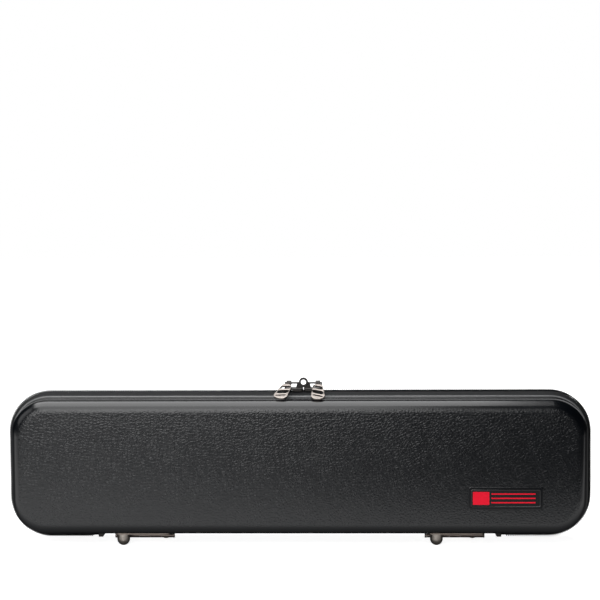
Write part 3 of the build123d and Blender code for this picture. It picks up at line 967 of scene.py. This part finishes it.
@dataclass(frozen=True)
class Inside:
    """Lining, foam tray, lid's pad and the cloth strip behind the hinges."""

    sizes: CaseSizes
    finishes: Finishes
    gap: float = 3.8
    tray_top: float = -2.0
    over_tray: float = 5.0
    wells: tuple[Channel, ...] = (
        Channel((-182.0, 180.0), 23.5, 11.0, -10.0, 36.0, -12.0),
        Channel((58.0, 190.0), -26.5, 11.0, -10.0, 29.0, -12.0),
        Channel((-190.0, 42.0), -26.5, 13.0, -8.5, 26.0, -8.5),
        Channel((-171.0, 171.0), -3.5, 4.5, -9.5, 9.0, -9.5),
    )
    lip: tuple[float, float, float, float] = (-152.0, -106.0, 32.0, -12.0)
    pad_z: Pair = (13.0, 21.4)
    pad_swell: float = 1.6
    lining_thick: float = 0.9
    strip_half: Pair = (140.0, 12.0)

    def rounded_block(
        self, name: str, inset: float, low: float, high: float, round_mm: float, at_low: bool
    ) -> Bench:
        """Block with the case's outline that ends inset inside the shell's wall.

        It is rounded round its lower face if at_low, or else round its upper one.
        """
        s = self.sizes
        bench = Bench(name)
        x, y = s.half_x - inset, s.half_y - inset
        bench.block((-x, -y, low), (x, y, high))
        bench.round_uprights(s.corner - inset, 12)
        bench.round_level(low if at_low else high, round_mm, 5)
        return bench

    def tray(self) -> None:
        """Foam tray with its wells, in one soft skin of plush."""
        low = self.gap - self.sizes.base_depth
        bench = self.rounded_block("plush_tray", self.gap, low, self.tray_top, 4.0, True)
        for number, well in enumerate(self.wells):
            cutter = Bench(f"well_{number}")
            bpy.ops.mesh.primitive_cylinder_add(
                vertices=40, radius=well.radius, depth=well.x[1] - well.x[0],
                location=(sum(well.x) / 2, well.y, well.axis), rotation=(0, math.pi / 2, 0),
            )
            bench.cut(cutter)
            half = max(well.width / 2, well.radius)
            spans = (*well.x, well.y, half, well.floor)
            self.recess(bench, f"recess_{number}", spans, min(3.0, half - 0.5), 4)
        x0, x1, width, floor = self.lip
        spans = (x0, x1, self.wells[2].y, width / 2, floor)
        self.recess(bench, "lip_recess", spans, 5.0, 5)
        bench.apply("REMESH", mode="VOXEL", voxel_size=1.7)
        bench.apply("SMOOTH", factor=0.5, iterations=5)
        piece = bench.deliver(self.finishes["plush_foam"], "base", self.sizes, 180)
        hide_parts("base_foam_tray")

    def recess(
        self, bench: Bench, name: str, spans: Sequence[float], radius: float, segments: int
    ) -> None:
        """Cut an upright recess that spans from x, to x, middle y, half width and floor."""
        x0, x1, y, half, floor = spans
        cutter = Bench(name)
        cutter.block((x0, y - half, floor), (x1, y + half, self.over_tray))
        cutter.round_uprights(radius, segments)
        bench.cut(cutter)

    def pad(self) -> None:
        """Lid's cushion, blown up a little by a cloth simulation."""
        s = self.sizes
        bench = self.rounded_block("plush_pad", 5.0, *self.pad_z, 3.0, False)
        bench.apply("REMESH", mode="VOXEL", voxel_size=5.0)
        bench.leave()
        piece = bench.piece
        piece.data.transform(s.stand)
        self.swell(piece, self.pad_swell / 1000)
        bench.enter()
        bpy.ops.mesh.select_all(action="SELECT")
        bpy.ops.mesh.subdivide(number_cuts=1, smoothness=0.6)
        bench.leave()
        piece.data.transform(s.stand.inverted())
        bench.enter()
        piece = bench.deliver(self.finishes["plush_foam"], "lid", s, 180)
        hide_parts("lid_pad")

    @staticmethod
    def swell(piece: bpy.types.Object, cap: float) -> None:
        """Swell a padded piece with cloth under pressure, each point by at most cap."""
        rest = [v.co.copy() for v in piece.data.vertices]
        cloth = piece.modifiers.new("cloth", "CLOTH")
        cloth.settings.use_pressure = True
        cloth.settings.uniform_pressure_force = 4.0
        cloth.settings.effector_weights.gravity = 0.0
        cloth.settings.quality = 6
        scene = bpy.context.scene
        for frame in range(1, 21):
            scene.frame_set(frame)
        moved = piece.evaluated_get(bpy.context.evaluated_depsgraph_get()).to_mesh()
        ends = [v.co.copy() for v in moved.vertices]
        piece.modifiers.remove(cloth)
        scene.frame_set(1)
        for vertex, start, end in zip(piece.data.vertices, rest, ends):
            step = end - start
            if step.length > cap:
                step = step.normalized() * cap
            vertex.co = start + step

    def lining(self, half: Half) -> None:
        """Cloth stretched over the inside of one shell."""
        s = self.sizes
        depth = s.lid_depth if half is Half.LID else s.base_depth
        high = depth - s.wall - 0.15
        bench = self.rounded_block(f"{half.body}_lining_cloth", 2.55, s.rim, high, 6.4, False)
        bench.pick(lambda co: co.z < s.rim + 0.01)
        bpy.ops.mesh.delete(type="FACE")
        bench.apply("SOLIDIFY", thickness=self.lining_thick, offset=-1.0, use_even_offset=True)
        bench.reshape(lambda co: Vector((co.x, co.y, co.z * half.value)))
        bench.outward()
        piece = bench.deliver(self.finishes["lining_cloth"], half.body, s, 50)
        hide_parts(f"{half.body}_lining")
        drop = 2 * (high - s.rim)
        flat = ((2 * s.half_y + drop) / 1000, (2 * s.half_x + drop) / 1000)

    def strip(self) -> None:
        """Cloth strip that hides the joint line behind the hinges."""
        s = self.sizes
        x, z = self.strip_half
        y = -s.half_y + s.wall
        bench = Bench("hinge_strip_cloth")
        bench.block((-x, y, -z), (x, y + self.lining_thick, z))
        bench.pick_edges(lambda a, b: abs(a.z - b.z) > 1.0)
        bpy.ops.mesh.subdivide(number_cuts=31)
        bench.outward()
        piece = bench.deliver(self.finishes["lining_cloth"], None, s, 50)
        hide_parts("spine_strip")
        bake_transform(piece)

    def build(self) -> None:
        """Make all the inside pieces."""
        self.tray()
        self.pad()
        for half in Half:
            self.lining(half)
        self.strip()


@dataclass(frozen=True)
class BadgeBezel:
    """Polished bead round the badge's plate."""

    place: BadgePlace = BadgePlace()
    wide: float = 0.75
    corner: float = 1.3
    low: float = 25.7
    high: float = 26.55

    def rounded_plate(self, name: str, inset: float, low: float, high: float) -> Bench:
        """Plate with rounded corners, smaller than the bead by inset all round."""
        x, y = self.place.x, self.place.y
        u, v = self.place.half_x - inset, self.place.half_y - inset
        bench = Bench(name)
        bench.block((x - u, y - v, low), (x + u, y + v, high))
        bench.round_uprights(self.corner - inset, 4, 0.1)
        return bench

    def build(self, finishes: Finishes, sizes: CaseSizes) -> None:
        """Make the bezel."""
        bench = self.rounded_plate("badge_bezel", 0.0, self.low, self.high)
        hole = self.rounded_plate("bezel_hole", self.wide, self.low - 1.0, self.high + 1.0)
        bench.cut(hole)
        bench.round_level(self.high, 0.3, 3)
        bench.outward()
        bench.deliver(finishes["badge_gloss"], "lid", sizes, 60)


@dataclass(frozen=True)
class PullTab:
    """Cast open-work pull with slanted windows, hanging from a slider's bar.

    It is made flat, with its bar at the middle and Y down the pull. The circles
    (x, y, radius) span its outline, and the windows (width, from y, to y) slant.
    """

    side: str
    x: float
    lean: float
    slant: float
    bar: float = 57.9
    drop: float = 25.0
    thick: float = 1.5
    skin: float = 0.24
    circles: tuple[Triple, ...] = ((0.0, 6.1, 3.7), (-1.0, 18.4, 4.0), (1.0, 18.4, 4.0))
    windows: tuple[Triple, ...] = ((6.4, 5.0, 9.3), (7.6, 11.0, 15.8), (6.4, 17.5, 19.2))

    def outline(self, angle: float) -> Vector:
        """Point of the outline that faces an angle."""
        way = Vector((math.cos(angle), math.sin(angle)))
        x, y, r = max(self.circles, key=lambda c: Vector(c[:2]).dot(way) + c[2])
        return Vector((x, y)) + way * r

    def window(self, number: int) -> Bench:
        """Slanted cutter for one window."""
        width, near, far = self.windows[number]
        hole = Bench(f"hole_{number}")
        hole.block((-width / 2, near, -2.0), (width / 2, far, 2.0))
        hole.round_uprights(0.35 * (far - near), 3)
        lean = math.tan(math.radians(self.slant))
        hole.reshape(lambda co: Vector((co.x, co.y + co.x * lean, co.z)))
        return hole

    @property
    def hung(self) -> Matrix:
        """Turns the flat pull so that it hangs from its bar."""
        turn = Matrix.Translation((self.x, self.bar, 0.0))
        turn @= Matrix.Rotation(math.radians(self.drop), 4, "X")
        turn @= Matrix.Rotation(math.radians(self.lean), 4, "Y")
        return turn @ Matrix.Rotation(math.pi / 2, 4, "X")

    def build(self, finishes: Finishes, sizes: CaseSizes) -> None:
        """Make the pull in place of the CAD's plain one."""
        bench = Bench(f"{self.side}_pull_cast")
        bpy.ops.mesh.primitive_circle_add(vertices=48, fill_type="NGON")
        back = -self.thick / 2
        bench.reshape(lambda co: Vector((*self.outline(math.atan2(co.y, co.x)), back)))
        bpy.ops.mesh.extrude_region_move(TRANSFORM_OT_translate={"value": (0, 0, self.thick)})
        for number in range(len(self.windows)):
            bench.cut(self.window(number))
        bench.apply("REMESH", mode="VOXEL", voxel_size=self.skin)
        bench.apply("SMOOTH", factor=0.5, iterations=4)
        turn = self.hung
        bench.reshape(lambda co: turn @ co)
        piece = bench.deliver(finishes["nickel"], f"{self.side}_pull", sizes, 180)
        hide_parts(f"{self.side}_pull_tab")


# ---- studio
@dataclass(frozen=True)
class Softbox:
    """Rectangular soft light that looks at a point."""

    name: str
    place: Triple
    target: Triple
    size: Pair
    power: float

    def build(self) -> None:
        """Make the light."""
        data = bpy.data.lights.new(self.name, "AREA")
        data.shape = "RECTANGLE"
        data.size, data.size_y = self.size
        data.energy = self.power
        lamp = bpy.data.objects.new(self.name, data)
        lamp.visible_camera = False
        bpy.context.scene.collection.objects.link(lamp)
        lamp.location = self.place
        aim = Vector(self.target) - Vector(self.place)
        lamp.rotation_euler = aim.to_track_quat("-Z", "Z").to_euler()


@dataclass(frozen=True)
class Studio:
    """Pale floor, soft lights and the camera of the photograph."""

    lights: tuple[Softbox, ...] = (
        Softbox("front_low", (-0.28, -1.30, 0.52), (-0.1, 0.0, 0.06), (0.9, 0.68), 8.5),
        Softbox("front_top", (-0.28, -1.02, 1.10), (-0.1, 0.0, 0.06), (0.95, 0.70), 6.3),
        Softbox("overhead", (-0.32, -0.02, 1.38), (-0.3, -0.02, 0.1), (1.3, 1.5), 28.0),
        Softbox("rear_wall", (0.0, 1.70, 0.75), (0.0, 0.0, 0.3), (3.2, 1.2), 8.0),
        Softbox("left_fill", (-1.50, -0.60, 0.95), (-0.15, 0.0, 0.06), (1.0, 1.0), 4.0),
    )
    centre: Triple = (0.0, 0.0, 0.0572)
    distance: float = 1.050
    azimuth: float = 1.038
    elevation: float = 9.382
    pan: float = -0.0514
    tilt: float = 6.4233
    roll: float = -0.21
    lens: float = 86.69
    ambient: float = 0.015
    glow_near: float = 0.88
    glow_far: float = 1.0
    floor_low: Triple = (-6.0, -3.0, -0.01)
    floor_high: Triple = (6.0, 9.0, 0.0)

    def bounce(self, g: Graph, at: Flow) -> Flow:
        """Light that the floor throws on the case: a pool on its left and close in front."""
        x, y, _ = g.axes(at)
        near = y.smooth(-170.0, -10.0)
        left = x.smooth(240.0, -280.0)
        middle = y.smooth(-700.0, -200.0)
        pool = near * (left * 0.6 + 2.1) + (1.0 - near) * left * (middle * 0.65 + 0.35)
        lift = y.smooth(-320.0, -120.0) * (left * 0.2 + 0.15) + 1.0
        # front keeps the glow away from right under the case: a painted shadow strip there.
        front = y.smooth(-10.0, -70.0)
        return g.mix(pool.least(1.0) * lift * front * 0.5, (0.0,) * 3, (2.0,) * 3)

    def floor(self) -> None:
        """Plain pale floor, which the camera sees brighter than it lights the case."""
        bench = Bench("studio_floor")
        bench.block(self.floor_low, self.floor_high)
        bench.round_uprights(0.5, 6, 0.001)
        bench.leave()
        g = Graph("pale_floor")
        at = g.position()
        away = g.flow("ShaderNodeVectorMath", {"operation": "LENGTH"}, {0: at}, "Value")
        seen = g.mix(away.smooth(320.0, 900.0), (self.glow_near,) * 3, (self.glow_far,) * 3)
        mottle = g.mix(g.noise(at, 0.004), (0.80, 0.80, 0.80), (0.83, 0.83, 0.83))
        matt = {"Base Color": mottle, "Roughness": 0.9, "Specular IOR Level": 0.0}
        pale = g.flow("ShaderNodeBsdfPrincipled", None, matt)
        dim = g.flow("ShaderNodeBsdfDiffuse", None, {"Color": (0.10, 0.10, 0.10, 1.0)})
        ways = []
        for surface, light in ((dim, self.bounce(g, at)), (pale, seen)):
            glow = g.flow("ShaderNodeEmission", None, {"Color": light, "Strength": 1.0})
            ways.append(g.flow("ShaderNodeAddShader", None, {0: surface, 1: glow}))
        g.finish_by_ray(*ways, "ShaderNodeOutputMaterial")
        bench.piece.data.materials.append(g.owner)

    def world(self) -> None:
        """White to the camera, a dim even light to everything else."""
        g = Graph("studio_world", bpy.data.worlds)
        bpy.context.scene.world = g.owner
        ways = [
            g.flow("ShaderNodeBackground", None, {"Color": (1.0,) * 4, "Strength": strength})
            for strength in (self.ambient, 1.0)
        ]
        g.finish_by_ray(*ways, "ShaderNodeOutputWorld")

    @staticmethod
    def towards(azimuth: float, elevation: float) -> Vector:
        """Direction from the case at angles in degrees, 0 being straight in front of it."""
        a, e = math.radians(azimuth), math.radians(elevation)
        return Vector((math.sin(a) * math.cos(e), -math.cos(a) * math.cos(e), math.sin(e)))

    def camera(self) -> None:
        """Camera at the photograph's place and angle."""
        data = bpy.data.cameras.new("camera")
        data.lens = self.lens
        data.sensor_width = 36.0
        data.clip_start, data.clip_end = 0.05, 50.0
        rig = bpy.data.objects.new("camera", data)
        bpy.context.scene.collection.objects.link(rig)
        back = self.towards(self.azimuth, self.elevation)
        rig.location = Vector(self.centre) + back * self.distance
        ahead = -self.towards(self.azimuth + self.pan, self.elevation - self.tilt)
        turn = ahead.to_track_quat("-Z", "Y").to_matrix().to_4x4()
        turn = turn @ Matrix.Rotation(math.radians(self.roll), 4, "Z")
        rig.rotation_mode = "QUATERNION"
        rig.rotation_quaternion = turn.to_quaternion()
        bpy.context.scene.camera = rig

    def build(self) -> None:
        """Make the whole studio."""
        self.floor()
        self.world()
        for light in self.lights:
            light.build()
        self.camera()
        bpy.context.scene.view_settings.view_transform = "Standard"


def main() -> None:
    """Build the case round the CAD frame."""
    logging.basicConfig(level=logging.INFO, format="%(name)s: %(message)s")
    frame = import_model()
    sizes = CaseSizes()
    finishes = Finishes()
    finishes.dress(frame["nodes"])
    route = ZipRoute(sizes)
    log.info("zip course %.1f mm", route.length)
    for half in Half:
        ZipHalf(half, route, finishes).build()
    Inside(sizes, finishes).build()
    BadgeBezel().build(finishes, sizes)
    PullTab("left", -7.2, -17.5, -20.0).build(finishes, sizes)
    PullTab("right", 13.6, 0.0, 20.0).build(finishes, sizes)
    Studio().build()


if __name__ == "__main__":
    main()
